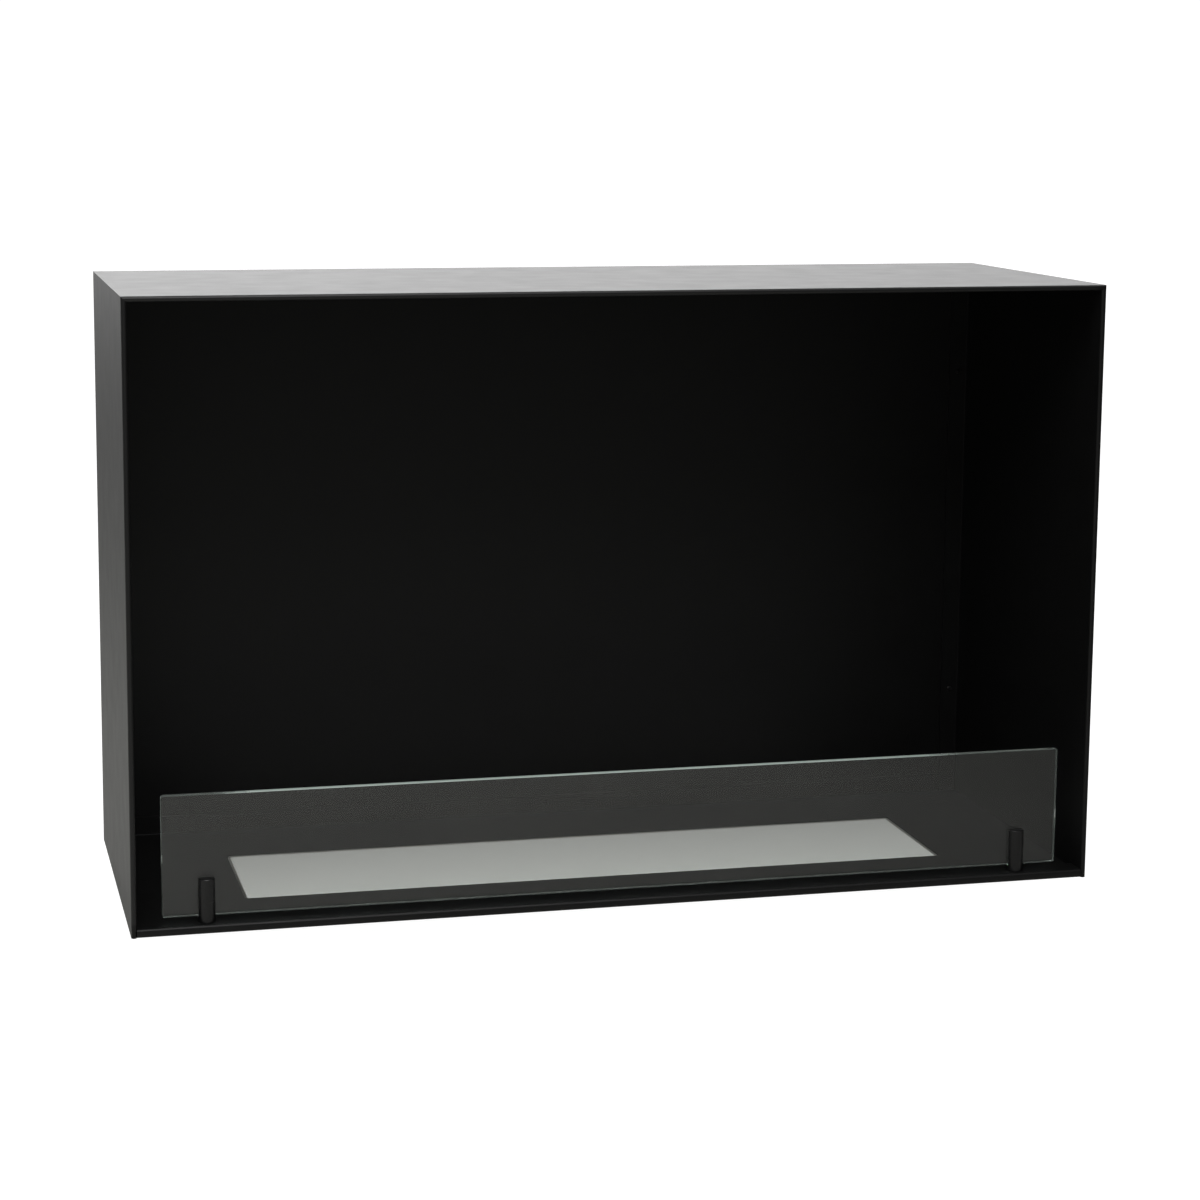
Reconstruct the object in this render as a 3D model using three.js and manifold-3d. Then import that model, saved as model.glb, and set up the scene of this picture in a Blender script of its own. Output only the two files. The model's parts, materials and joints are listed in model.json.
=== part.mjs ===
// A bioethanol fireplace: a folded sheet-steel firebox, open at the front, with a glass wind screen
// dropped into two slotted posts and a shallow burner pan hanging in a cut-out of the floor.
//
// Millimetres, +Z up, front facing -Y. The casing is drawn in its own frame: x from the middle of the
// width, y back from the front face, z up from the underside of the casing. The last group sets it on
// its feet, with the origin on the ground below the middle of the object.

import * as THREE from 'three';
import { mergeVertices } from 'three/addons/utils/BufferGeometryUtils.js';
import Module from 'manifold-3d';

const wasm = await Module();
wasm.setup();

// ---------------------------------------------------------------- driving dimensions

// Casing
const CASING_WIDTH = 800;
const CASING_HEIGHT = 500;
const CASING_DEPTH = 295; // front face to the outside of the back panel
const SHEET = 2; // steel sheet of the shell, the floor and the back
const BEND_RADIUS = 0.5; // inside radius of the bends; the two top folds are grooved, so they stay sharp
const HEM_RETURN = 20; // how far the front edges fold back inside
const HEM_GAP = 0.4; // air left between the two layers of a pressed hem
const FLOOR_LIP = 7; // height of the lip that the floor's front edge is folded into
const REAR_FLANGE = 18; // width of the flange that the back panel is screwed to
const FOLD_RELIEF = 0.8; // gap between the folds of two sheets that meet in a corner
const BACK_PANEL_INSET = 1.5; // back panel's edge, in from the casing's outline
const BACK_PANEL_CORNER = 3;

// Screws that hold the back panel: button heads with a hexagon socket
const BACK_SCREWS_PER_ROW = 3; // along the top and along the bottom
const BACK_SCREWS_PER_SIDE = 2;
const BACK_SCREW_EDGE = 10; // screw line, in from the casing's outline
const BACK_SCREW_END = 100; // first and last screw of a row, in from the casing's corner
const BACK_SCREW_LENGTH = 6; // below the head
const BUTTON_HEAD_DIAMETER = 7.6;
const BUTTON_HEAD_HEIGHT = 2.2;
const BUTTON_HEAD_RIM = 0.45; // upright rim of the head
const BUTTON_HEAD_FLAT = 3.6; // diameter of the flat round the socket

// M4 thread, shared by the back screws, the post screws and the bracket studs
const M4_DIAMETER = 4;
const M4_SOCKET = 2.5; // hexagon key, across flats
const SOCKET_DEPTH = 1.3;
const SCREW_CLEARANCE = 0.25; // radial, round every screw, stud and countersunk head
const THREAD_CHAMFER = 0.5;

// Posts that hold the glass
const POST_DIAMETER = 14.5;
const POST_HEIGHT = 35.4;
const POST_INSET = 35; // centre, in from the end of the glass
const POST_SETBACK = 12; // centre, behind the front face
const POST_CHAMFER = 0.6;
const COUNTERSINK_DIAMETER = 8;
const POST_SCREW_GRIP = 3.6; // thread inside the post
const POST_BORE_SPARE = 0.3; // bore beyond the screw's tip

// Glass screen and its pads
const GLASS_SIDE_GAP = 25; // end of the glass, in from the casing's outside
const GLASS_HEIGHT = 98;
const GLASS_THICKNESS = 5;
const GLASS_LIFT = 5.3; // air gap below the glass, above the floor's lip
const GLASS_ARRIS = 0.5; // ground bevel along every edge
const GLASS_CORNER = 2;
const SLOT_CLEARANCE = 0.3; // each side of the glass
const PAD_THICKNESS = 0.8;
const PAD_LENGTH = 12;

// Cut-out in the floor, and the burner that hangs in it
const CUTOUT_LENGTH = 602;
const CUTOUT_WIDTH = 128;
const CUTOUT_CORNER = 3;
const BURNER_CLEARANCE = 1; // pan to cut-out, all round
const BURNER_RECESS = 0.5; // rim of the pan, below the top of the floor
const PAN_HEIGHT = 16;
const PAN_WALL = 0.8;
const PAN_EDGE_RADIUS = 1.5; // outside, round the bottom
const FIBRE_CLEARANCE = 0.3; // fibre to the pan's walls
const FIBRE_LIFT = 0.3; // fibre above the pan's floor
const FIBRE_EDGE = 0.6; // softened edge of the fibre

// Stirrups that carry the pan, folded from strip
const BRACKET_SPACING = 400;
const BRACKET_WIDTH = 30;
const BRACKET_SHEET = 1.5;
const BRACKET_BEND = 1;
const BRACKET_FLANGE = 18;
const BRACKET_STUD_LENGTH = 6.5;
const BRACKET_NUT_HEIGHT = 3.2;
const BRACKET_NUT_FLATS = 7;

// Rubber feet on welded M6 studs
const FOOT_HEIGHT = 20;
const FOOT_TOP_DIAMETER = 30;
const FOOT_SOLE_DIAMETER = 26;
const FOOT_EDGE = 1.5; // bevel round the sole
const FOOT_COUNTERBORE = 17;
const FOOT_WEB = 11; // rubber between the floor panel and the washer
const FOOT_SIDE_INSET = 40; // centre, in from the side of the casing
const FOOT_FRONT_INSET = 85; // centre, behind the front face
const FOOT_REAR_INSET = 40; // centre, ahead of the back
const M6_DIAMETER = 6;
const FOOT_STUD_LENGTH = 18;
const WASHER_DIAMETER = 12;
const WASHER_THICKNESS = 1.6;
const FOOT_NUT_HEIGHT = 5;
const FOOT_NUT_FLATS = 10;

// Facets
const BEND_STEPS = 4; // per bend of a folded sheet
const CORNER_STEPS = 2; // pairs of facets per rounded corner of a flat outline
const ROUND_STEPS = 16; // round a screw, hole, nut or stud
const FOOT_STEPS = 28;
const POST_STEPS = 40;

// ---------------------------------------------------------------- sizes that follow

const HALF_WIDTH = CASING_WIDTH / 2;
const HALF_SHEET = SHEET / 2;
const HEM_THICKNESS = 2 * SHEET + HEM_GAP;
const HEM_NOSE = HEM_THICKNESS / 2; // outside radius of the front fold
const FLANGE_BACK = CASING_DEPTH - SHEET; // face that the back panel lies on
const REAR_BEND = FLANGE_BACK - SHEET - BEND_RADIUS; // where the rear bend starts
const M4_HOLE_RADIUS = M4_DIAMETER / 2 + SCREW_CLEARANCE;
const GLASS_WIDTH = CASING_WIDTH - 2 * GLASS_SIDE_GAP;
const POST_SPACING = GLASS_WIDTH - 2 * POST_INSET;
const SLOT_WIDTH = GLASS_THICKNESS + 2 * SLOT_CLEARANCE;
const GLASS_BOTTOM = FLOOR_LIP + GLASS_LIFT;
const SLOT_BOTTOM = GLASS_BOTTOM - PAD_THICKNESS;
const CUTOUT_CENTRE = CASING_DEPTH / 2; // behind the front face
const CUTOUT_FRONT = CUTOUT_CENTRE - CUTOUT_WIDTH / 2;
const CUTOUT_BACK = CUTOUT_CENTRE + CUTOUT_WIDTH / 2;
const PAN_LENGTH = CUTOUT_LENGTH - 2 * BURNER_CLEARANCE;
const PAN_WIDTH = CUTOUT_WIDTH - 2 * BURNER_CLEARANCE;
const PAN_CORNER = CUTOUT_CORNER - BURNER_CLEARANCE;
const PAN_TOP = SHEET - BURNER_RECESS;
const PAN_BOTTOM = PAN_TOP - PAN_HEIGHT;

// ---------------------------------------------------------------- materials

const blackCoat = new THREE.MeshStandardMaterial({ color: 0x161616, roughness: 0.55, metalness: 0.1 });
const blackPost = new THREE.MeshStandardMaterial({ color: 0x1a1a1c, roughness: 0.45, metalness: 0.3 });
const blackScrew = new THREE.MeshStandardMaterial({ color: 0x202020, roughness: 0.4, metalness: 0.7 });
const zincSteel = new THREE.MeshStandardMaterial({ color: 0xa8abad, roughness: 0.35, metalness: 0.9 });
const stainless = new THREE.MeshStandardMaterial({ color: 0xb9bab8, roughness: 0.3, metalness: 1 });
const rubber = new THREE.MeshStandardMaterial({ color: 0x1c1c1b, roughness: 0.9, metalness: 0 });
const silicone = new THREE.MeshStandardMaterial({ color: 0xd8dad6, roughness: 0.6, metalness: 0 });
const ceramicFibre = new THREE.MeshStandardMaterial({ color: 0xdfe0dc, roughness: 1, metalness: 0 });
const clearGlass = new THREE.MeshStandardMaterial({
  color: 0xdcefe6,
  roughness: 0.05,
  metalness: 0,
  transparent: true,
  opacity: 0.3,
});

// ---------------------------------------------------------------- solids and booleans

// A closed geometry as a solid: shared vertices merged, and facets that merging closed up left out.
function solidOf(geometry) {
  const bare = geometry.clone();
  bare.deleteAttribute('normal');
  bare.deleteAttribute('uv');
  const merged = mergeVertices(bare);
  const corners = merged.index.array;
  const kept = [];
  for (let i = 0; i < corners.length; i += 3) {
    const [a, b, c] = corners.slice(i, i + 3);
    if (a !== b && b !== c && c !== a) kept.push(a, b, c);
  }
  const vertProperties = Float32Array.from(merged.attributes.position.array);
  const triVerts = Uint32Array.from(kept);
  return new wasm.Manifold(new wasm.Mesh({ numProp: 3, vertProperties, triVerts }));
}

function geometryOf(solid) {
  const { vertProperties, triVerts } = solid.getMesh();
  const geometry = new THREE.BufferGeometry();
  geometry.setAttribute('position', new THREE.BufferAttribute(Float32Array.from(vertProperties), 3));
  geometry.setIndex(new THREE.BufferAttribute(Uint32Array.from(triVerts), 1));
  geometry.computeVertexNormals();
  return geometry;
}

function joined(solids) {
  return solids.reduce((whole, solid) => whole.add(solid));
}

function cut(solid, cutters) {
  return cutters.reduce((rest, cutter) => rest.subtract(cutter), solid);
}

// Turns a geometry so that its x runs along `across`, its y along `up` and its z along their cross
// product, and moves its origin to `origin`.
function laid(geometry, across, up, origin) {
  const x = new THREE.Vector3(...across);
  const y = new THREE.Vector3(...up);
  const z = new THREE.Vector3().crossVectors(x, y);
  const turn = new THREE.Matrix4().makeBasis(x, y, z).setPosition(...origin);
  return geometry.applyMatrix4(turn);
}

function extruded(shape, length, steps = CORNER_STEPS) {
  return new THREE.ExtrudeGeometry(shape, { depth: length, bevelEnabled: false, curveSegments: steps });
}

function boxBetween(low, high) {
  const size = high.map((value, axis) => value - low[axis]);
  const middle = high.map((value, axis) => (value + low[axis]) / 2);
  return solidOf(new THREE.BoxGeometry(...size).translate(...middle));
}

// A turned solid about +Z from a profile of [radius, height], which starts and ends on the axis.
function turned(profile, steps = ROUND_STEPS) {
  const points = profile.map(([radius, height]) => new THREE.Vector2(radius, height));
  return new THREE.LatheGeometry(points, steps).rotateX(Math.PI / 2);
}

function hexagon(flats, height) {
  const corner = flats / Math.sqrt(3);
  return new THREE.CylinderGeometry(corner, corner, height, 6).rotateX(Math.PI / 2);
}

function roundedRectangle(length, width, radius) {
  const x = length / 2;
  const y = width / 2;
  const quarter = Math.PI / 2;
  const shape = new THREE.Shape();
  shape.moveTo(-x + radius, -y);
  shape.lineTo(x - radius, -y);
  shape.absarc(x - radius, -y + radius, radius, -quarter, 0);
  shape.lineTo(x, y - radius);
  shape.absarc(x - radius, y - radius, radius, 0, quarter);
  shape.lineTo(-x + radius, y);
  shape.absarc(-x + radius, y - radius, radius, quarter, 2 * quarter);
  shape.lineTo(-x, -y + radius);
  shape.absarc(-x + radius, -y + radius, radius, 2 * quarter, 3 * quarter);
  return shape;
}

// ---------------------------------------------------------------- folded sheet

// The cross-section of a folded sheet. `path` follows the middle of the sheet: [x, y] at its two ends
// and [x, y, inside radius] at each bend.
function foldedSheet(path, thickness) {
  const samePoint = 1e-6;
  const half = thickness / 2;
  const left = [];
  const right = [];
  const station = (point, normal) => {
    const last = left.at(-1);
    const next = point.clone().addScaledVector(normal, half);
    if (last && last.distanceTo(next) < samePoint) return;
    left.push(next);
    right.push(point.clone().addScaledVector(normal, -half));
  };
  const corners = path.map(([x, y]) => new THREE.Vector2(x, y));
  const leg = (i) => corners[i + 1].clone().sub(corners[i]).normalize();
  const leftOf = (direction) => new THREE.Vector2(-direction.y, direction.x);

  station(corners[0], leftOf(leg(0)));
  for (let i = 1; i < corners.length - 1; i += 1) {
    const before = leg(i - 1);
    const after = leg(i);
    const turn = Math.atan2(before.cross(after), before.dot(after));
    const side = Math.sign(turn);
    const radius = path[i][2] + half;
    const tangent = radius * Math.tan(Math.abs(turn) / 2);
    const toCentre = leftOf(before).multiplyScalar(side);
    const centre = corners[i].clone().addScaledVector(before, -tangent).addScaledVector(toCentre, radius);
    const first = Math.atan2(-toCentre.y, -toCentre.x);
    for (let step = 0; step <= BEND_STEPS; step += 1) {
      const angle = first + (turn * step) / BEND_STEPS;
      const spoke = new THREE.Vector2(Math.cos(angle), Math.sin(angle));
      station(centre.clone().addScaledVector(spoke, radius), spoke.multiplyScalar(-side));
    }
  }
  station(corners.at(-1), leftOf(leg(corners.length - 2)));
  return new THREE.Shape([...left, ...right.reverse()]);
}

// Folded edge from z = from to z = to, with its ends cut at 45 degrees where `mitred` says so: the further
// a point lies inward from the outside face, which is the section's x, the shorter the edge is there.
function foldedEdge(section, from, to, mitred) {
  const edge = extruded(section, to - from);
  const position = edge.attributes.position;
  for (let i = 0; i < position.count; i += 1) {
    const inward = position.getX(i);
    if (position.getZ(i) < (to - from) / 2) position.setZ(i, mitred.start ? from + inward : from);
    else position.setZ(i, mitred.end ? to - inward : to);
  }
  return edge;
}

// The same folded edge down the left side, along the top and down the right side of the casing.
function edgeRoundOpening(section) {
  const leftLeg = foldedEdge(section, 0, CASING_HEIGHT, { start: false, end: true });
  const topLeg = foldedEdge(section, -HALF_WIDTH, HALF_WIDTH, { start: true, end: true });
  const rightLeg = foldedEdge(section, -CASING_HEIGHT, 0, { start: true, end: false });
  return [
    laid(leftLeg, [1, 0, 0], [0, 1, 0], [-HALF_WIDTH, 0, 0]),
    laid(topLeg, [0, 0, -1], [0, 1, 0], [0, 0, CASING_HEIGHT]),
    laid(rightLeg, [-1, 0, 0], [0, 1, 0], [HALF_WIDTH, 0, 0]),
  ].map(solidOf);
}

// ---------------------------------------------------------------- casing

// Where the back screws go, as [x, z].
function backScrewPlaces() {
  const rowEnd = HALF_WIDTH - BACK_SCREW_END;
  const columnEnd = CASING_HEIGHT / 2 - BACK_SCREW_END;
  const places = [];
  for (let i = 0; i < BACK_SCREWS_PER_ROW; i += 1) {
    const x = -rowEnd + (2 * rowEnd * i) / (BACK_SCREWS_PER_ROW - 1);
    places.push([x, BACK_SCREW_EDGE], [x, CASING_HEIGHT - BACK_SCREW_EDGE]);
  }
  for (let i = 0; i < BACK_SCREWS_PER_SIDE; i += 1) {
    const z = CASING_HEIGHT / 2 - columnEnd + (2 * columnEnd * i) / (BACK_SCREWS_PER_SIDE - 1);
    places.push([-HALF_WIDTH + BACK_SCREW_EDGE, z], [HALF_WIDTH - BACK_SCREW_EDGE, z]);
  }
  return places;
}

function backScrewHoles() {
  return backScrewPlaces().map(([x, z]) => {
    const hole = new THREE.CylinderGeometry(M4_HOLE_RADIUS, M4_HOLE_RADIUS, 4 * SHEET, ROUND_STEPS);
    return solidOf(hole.translate(x, FLANGE_BACK, z));
  });
}

// Top and sides in one sheet, with pressed hems round the front opening and flanges for the back panel.
function casingShell() {
  const lap = SHEET; // stretch of flat sheet on each folded edge, half of it shared with the web
  const webFront = HEM_NOSE + lap / 2;
  const webBack = REAR_BEND - lap / 2;
  const block = boxBetween([-HALF_WIDTH, webFront, 0], [HALF_WIDTH, webBack, CASING_HEIGHT]);
  const insideLow = [-HALF_WIDTH + SHEET, 0, -CASING_HEIGHT];
  const insideHigh = [HALF_WIDTH - SHEET, CASING_DEPTH, CASING_HEIGHT - SHEET];
  const web = block.subtract(boxBetween(insideLow, insideHigh));

  const returnLine = HEM_THICKNESS - HALF_SHEET;
  const hem = foldedSheet(
    [
      [returnLine, HEM_RETURN],
      [returnLine, HALF_SHEET, HEM_GAP / 2],
      [HALF_SHEET, HALF_SHEET, HEM_GAP / 2],
      [HALF_SHEET, HEM_NOSE + lap],
    ],
    SHEET,
  );
  const flange = foldedSheet(
    [
      [HALF_SHEET, REAR_BEND - lap],
      [HALF_SHEET, FLANGE_BACK - HALF_SHEET, BEND_RADIUS],
      [REAR_FLANGE, FLANGE_BACK - HALF_SHEET],
    ],
    SHEET,
  );
  const edges = joined([...edgeRoundOpening(hem), ...edgeRoundOpening(flange)]);
  return cut(web.add(edges), backScrewHoles());
}

// A countersunk hole upwards from the underside of the casing.
function countersunkHole(x, y) {
  const mouth = COUNTERSINK_DIAMETER / 2 + SCREW_CLEARANCE;
  const cone = mouth - M4_HOLE_RADIUS;
  const past = SHEET;
  const profile = [
    [0, -past],
    [mouth, -past],
    [mouth, 0],
    [M4_HOLE_RADIUS, cone],
    [M4_HOLE_RADIUS, FLOOR_LIP + past],
    [0, FLOOR_LIP + past],
  ];
  return solidOf(turned(profile).translate(x, y, 0));
}

// Bottom sheet: folded into a lip at the front, turned up at the back, notched round the shell's own folds.
function floorPanel() {
  const returnLine = FLOOR_LIP - HALF_SHEET;
  const section = foldedSheet(
    [
      [HEM_RETURN, returnLine],
      [HALF_SHEET, returnLine, BEND_RADIUS],
      [HALF_SHEET, HALF_SHEET, BEND_RADIUS],
      [FLANGE_BACK - HALF_SHEET, HALF_SHEET, BEND_RADIUS],
      [FLANGE_BACK - HALF_SHEET, REAR_FLANGE],
    ],
    SHEET,
  );
  const span = CASING_WIDTH - 2 * SHEET;
  const sheet = solidOf(laid(extruded(section, span), [0, 1, 0], [0, 0, 1], [-span / 2, 0, 0]));

  const clear = REAR_FLANGE * 2;
  const lipEnd = HALF_WIDTH - HEM_THICKNESS; // butts against the side wall's hem
  const flangeEnd = HALF_WIDTH - REAR_FLANGE - FOLD_RELIEF;
  const lipStop = HEM_RETURN + FOLD_RELIEF;
  const bendStop = REAR_BEND - FOLD_RELIEF;
  const notches = [
    boxBetween([lipEnd, -clear, -clear], [CASING_WIDTH, lipStop, clear]),
    boxBetween([-CASING_WIDTH, -clear, -clear], [-lipEnd, lipStop, clear]),
    boxBetween([flangeEnd, bendStop, -clear], [CASING_WIDTH, CASING_DEPTH, clear]),
    boxBetween([-CASING_WIDTH, bendStop, -clear], [-flangeEnd, CASING_DEPTH, clear]),
  ];
  const opening = extruded(roundedRectangle(CUTOUT_LENGTH, CUTOUT_WIDTH, CUTOUT_CORNER), 3 * SHEET);
  const cutout = solidOf(opening.translate(0, CUTOUT_CENTRE, -SHEET));
  const postHoles = [-1, 1].map((side) => countersunkHole((side * POST_SPACING) / 2, POST_SETBACK));
  return cut(sheet, [...notches, cutout, ...postHoles, ...backScrewHoles()]);
}

function backPanel() {
  const width = CASING_WIDTH - 2 * BACK_PANEL_INSET;
  const height = CASING_HEIGHT - 2 * BACK_PANEL_INSET;
  const plate = extruded(roundedRectangle(width, height, BACK_PANEL_CORNER), SHEET);
  const standing = laid(plate, [1, 0, 0], [0, 0, 1], [0, CASING_DEPTH, CASING_HEIGHT / 2]);
  return cut(solidOf(standing), backScrewHoles());
}

// ---------------------------------------------------------------- fasteners

// All of them lie along +Z. Button-head screw: thread below its seat at z = 0, domed head above it.
function buttonScrew() {
  const thread = M4_DIAMETER / 2;
  const head = BUTTON_HEAD_DIAMETER / 2;
  const flat = BUTTON_HEAD_FLAT / 2;
  const crown = BUTTON_HEAD_HEIGHT - BUTTON_HEAD_RIM;
  const dome = [0, 30, 60, 90].map((degrees) => {
    const angle = THREE.MathUtils.degToRad(degrees);
    return [flat + (head - flat) * Math.cos(angle), BUTTON_HEAD_RIM + crown * Math.sin(angle)];
  });
  const profile = [
    [0, -BACK_SCREW_LENGTH],
    [thread - THREAD_CHAMFER, -BACK_SCREW_LENGTH],
    [thread, -BACK_SCREW_LENGTH + THREAD_CHAMFER],
    [thread, 0],
    [head, 0],
    ...dome,
    [0, BUTTON_HEAD_HEIGHT],
  ];
  const socket = hexagon(M4_SOCKET, 2 * SOCKET_DEPTH).translate(0, 0, BUTTON_HEAD_HEIGHT);
  return solidOf(turned(profile)).subtract(solidOf(socket));
}

// Countersunk screw: flush face at z = 0, thread above it.
function countersunkScrew() {
  const thread = M4_DIAMETER / 2;
  const head = COUNTERSINK_DIAMETER / 2;
  const tip = FLOOR_LIP + POST_SCREW_GRIP;
  const profile = [
    [0, 0],
    [head, 0],
    [thread, head - thread],
    [thread, tip - THREAD_CHAMFER],
    [thread - THREAD_CHAMFER, tip],
    [0, tip],
  ];
  const socket = hexagon(M4_SOCKET, 2 * SOCKET_DEPTH);
  return solidOf(turned(profile)).subtract(solidOf(socket));
}

// Weld stud hanging below the floor, its welded end at z = 0.
function weldStud(diameter, length) {
  const radius = diameter / 2;
  return turned([
    [0, -length],
    [radius - THREAD_CHAMFER, -length],
    [radius, -length + THREAD_CHAMFER],
    [radius, 0],
    [0, 0],
  ]);
}

// Hexagon nut hanging below its seat at z = 0, its corners chamfered at both ends.
function hexNut(flats, height, threadDiameter) {
  const bore = threadDiameter / 2 + SCREW_CLEARANCE;
  const corner = flats / Math.sqrt(3);
  const bevel = (corner - flats / 2) / 2;
  const barrel = turned([
    [0, -height],
    [flats / 2, -height],
    [corner, bevel - height],
    [corner, -bevel],
    [flats / 2, 0],
    [0, 0],
  ]);
  const hole = turned([[0, -2 * height], [bore, -2 * height], [bore, height], [0, height]]);
  const block = solidOf(hexagon(flats, height).translate(0, 0, -height / 2));
  return block.intersect(solidOf(barrel)).subtract(solidOf(hole));
}

function washer() {
  const ring = new THREE.Shape().absarc(0, 0, WASHER_DIAMETER / 2, 0, 2 * Math.PI);
  ring.holes.push(new THREE.Path().absarc(0, 0, M6_DIAMETER / 2 + SCREW_CLEARANCE, 0, 2 * Math.PI, true));
  return extruded(ring, WASHER_THICKNESS, ROUND_STEPS / 2).translate(0, 0, -WASHER_THICKNESS);
}

// ---------------------------------------------------------------- glass screen and posts

// Turned post with a threaded bore in its foot and a slot for the glass, open at the top.
function post() {
  const radius = POST_DIAMETER / 2;
  const boreDepth = POST_SCREW_GRIP + POST_BORE_SPARE;
  const rod = turned(
    [
      [0, boreDepth],
      [M4_HOLE_RADIUS, boreDepth],
      [M4_HOLE_RADIUS, 0],
      [radius, 0],
      [radius, POST_HEIGHT - POST_CHAMFER],
      [radius - POST_CHAMFER, POST_HEIGHT],
      [0, POST_HEIGHT],
    ],
    POST_STEPS,
  );
  const slotLow = [-POST_DIAMETER, -SLOT_WIDTH / 2, SLOT_BOTTOM - FLOOR_LIP];
  const slotHigh = [POST_DIAMETER, SLOT_WIDTH / 2, 2 * POST_HEIGHT];
  return solidOf(rod).subtract(boxBetween(slotLow, slotHigh));
}

function glassPad() {
  return extruded(roundedRectangle(PAD_LENGTH, GLASS_THICKNESS, PAD_THICKNESS), PAD_THICKNESS);
}

// Toughened pane with every edge ground to a small bevel.
function glassScreen() {
  const inset = 2 * GLASS_ARRIS;
  const face = roundedRectangle(GLASS_WIDTH - inset, GLASS_HEIGHT - inset, GLASS_CORNER - GLASS_ARRIS);
  const pane = new THREE.ExtrudeGeometry(face, {
    depth: GLASS_THICKNESS - inset,
    bevelThickness: GLASS_ARRIS,
    bevelSize: GLASS_ARRIS,
    bevelSegments: 1,
    curveSegments: CORNER_STEPS,
  });
  const back = GLASS_THICKNESS / 2 - GLASS_ARRIS;
  return laid(pane, [1, 0, 0], [0, 0, 1], [0, back, GLASS_HEIGHT / 2]);
}

// ---------------------------------------------------------------- burner

// A block with rounded upright corners and a rounded lower edge, flat on top at z = height.
function panForm(length, width, height, corner, edge) {
  const face = roundedRectangle(length - 2 * edge, width - 2 * edge, corner - edge);
  const block = new THREE.ExtrudeGeometry(face, {
    depth: 2 * height,
    bevelThickness: edge,
    bevelSize: edge,
    bevelSegments: 3,
    curveSegments: CORNER_STEPS,
  });
  const above = boxBetween([-length, -length, height], [length, length, 4 * height]);
  return solidOf(block.translate(0, 0, edge)).subtract(above);
}

function burnerTray() {
  const outside = panForm(PAN_LENGTH, PAN_WIDTH, PAN_HEIGHT, PAN_CORNER, PAN_EDGE_RADIUS);
  const inside = panForm(
    PAN_LENGTH - 2 * PAN_WALL,
    PAN_WIDTH - 2 * PAN_WALL,
    PAN_HEIGHT,
    PAN_CORNER - PAN_WALL,
    PAN_EDGE_RADIUS - PAN_WALL,
  );
  return outside.subtract(inside.translate([0, 0, PAN_WALL]));
}

function fibreBed() {
  const margin = 2 * (PAN_WALL + FIBRE_CLEARANCE);
  const inset = 2 * FIBRE_EDGE;
  const length = PAN_LENGTH - margin - inset;
  const width = PAN_WIDTH - margin - inset;
  const face = roundedRectangle(length, width, PAN_CORNER - FIBRE_EDGE);
  const height = PAN_HEIGHT - PAN_WALL - FIBRE_LIFT;
  const bed = new THREE.ExtrudeGeometry(face, {
    depth: height - inset,
    bevelThickness: FIBRE_EDGE,
    bevelSize: FIBRE_EDGE,
    bevelSegments: 2,
    curveSegments: CORNER_STEPS,
  });
  return bed.translate(0, 0, FIBRE_EDGE);
}

// Stirrup folded from strip: flanges below the floor, walls down past the pan, and a seat across.
function burnerBracket() {
  const half = BRACKET_SHEET / 2;
  const front = CUTOUT_FRONT - half;
  const back = CUTOUT_BACK + half;
  const seat = PAN_BOTTOM - half;
  const section = foldedSheet(
    [
      [front - half - BRACKET_FLANGE, -half],
      [front, -half, BRACKET_BEND],
      [front, seat, BRACKET_BEND],
      [back, seat, BRACKET_BEND],
      [back, -half, BRACKET_BEND],
      [back + half + BRACKET_FLANGE, -half],
    ],
    BRACKET_SHEET,
  );
  const edge = [-BRACKET_WIDTH / 2, 0, 0];
  const strip = laid(extruded(section, BRACKET_WIDTH), [0, 1, 0], [0, 0, 1], edge);
  const reach = 2 * BRACKET_SHEET;
  const holes = bracketStudLines().map((y) => {
    const drill = turned([[0, -reach], [M4_HOLE_RADIUS, -reach], [M4_HOLE_RADIUS, reach], [0, reach]]);
    return solidOf(drill.translate(0, y, 0));
  });
  return cut(solidOf(strip), holes);
}

// Front and rear lines of the bracket studs, along y.
function bracketStudLines() {
  const reach = BRACKET_SHEET + BRACKET_FLANGE / 2;
  return [CUTOUT_FRONT - reach, CUTOUT_BACK + reach];
}

// ---------------------------------------------------------------- feet

// Moulded rubber foot, hung from the floor panel at z = 0, hollow below for the washer and nut.
function foot() {
  const hole = M6_DIAMETER / 2 + SCREW_CLEARANCE;
  const top = FOOT_TOP_DIAMETER / 2;
  const sole = FOOT_SOLE_DIAMETER / 2;
  const hollow = FOOT_COUNTERBORE / 2;
  const ring = [
    [hole, 0],
    [hole, -FOOT_WEB],
    [hollow, -FOOT_WEB],
    [hollow, -FOOT_HEIGHT],
    [sole - FOOT_EDGE, -FOOT_HEIGHT],
    [sole, -FOOT_HEIGHT + FOOT_EDGE],
    [top, -FOOT_EDGE],
    [top - FOOT_EDGE, 0],
    [hole, 0],
  ];
  return turned(ring, FOOT_STEPS);
}

// ---------------------------------------------------------------- assembly

function named(name, form, material, place = [0, 0, 0]) {
  const geometry = form.isBufferGeometry ? form : geometryOf(form);
  const mesh = new THREE.Mesh(geometry, material);
  mesh.name = name;
  mesh.position.set(...place);
  return mesh;
}

const SIDES = [['left', -1], ['right', 1]];

function casingGroup() {
  const group = new THREE.Group();
  group.add(named('casing_shell', casingShell(), blackCoat));
  group.add(named('floor_panel', floorPanel(), blackCoat));
  group.add(named('back_panel', backPanel(), blackCoat));
  backScrewPlaces().forEach(([x, z], index) => {
    const number = String(index + 1).padStart(2, '0');
    const screw = named(`back_screw_${number}`, buttonScrew(), blackScrew, [x, CASING_DEPTH, z]);
    screw.rotation.x = -Math.PI / 2; // head to the rear
    group.add(screw);
  });
  return group;
}

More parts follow.
